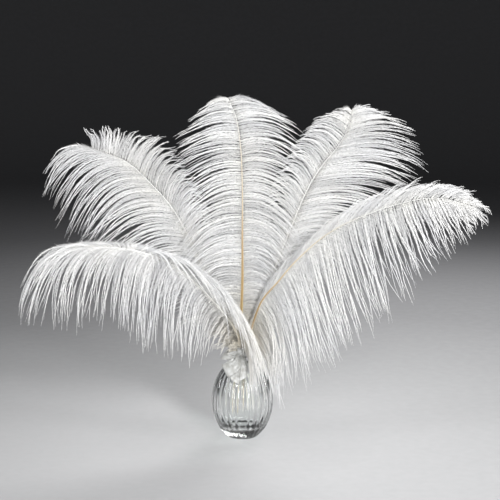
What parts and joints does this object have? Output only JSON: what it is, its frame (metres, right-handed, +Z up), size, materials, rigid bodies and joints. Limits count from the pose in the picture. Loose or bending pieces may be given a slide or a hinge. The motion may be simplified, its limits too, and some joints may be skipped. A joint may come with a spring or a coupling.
{
  "type": "ostrich feathers in a glass vase",
  "caption": "White ostrich plumes with curving shafts and long drooping barbs, tied with a satin ribbon and standing in a small fluted egg-shaped clear glass vase.",
  "frame": {"origin": "centre of the vase's flat foot, on the surface it stands on", "axes": "+Z up, +X to the right of someone facing the arrangement, along its widest spread, and -Y towards that person"},
  "size_m": [0.5822, 0.1692, 0.4463],
  "materials": {
    "glass": "clear, polished, with upright cut flutes",
    "satin": "soft satin sheen",
    "plume": "matt, fluffy, slightly see-through at the tips"
  },
  "bodies": {
    "root": {"vase": "glass", "ribbon": "satin", "feather_centre": "plume", "feather_upper_left": "plume", "feather_upper_right": "plume", "feather_lower_left": "plume", "feather_lower_right": "plume"}
  },
  "joints": []
}
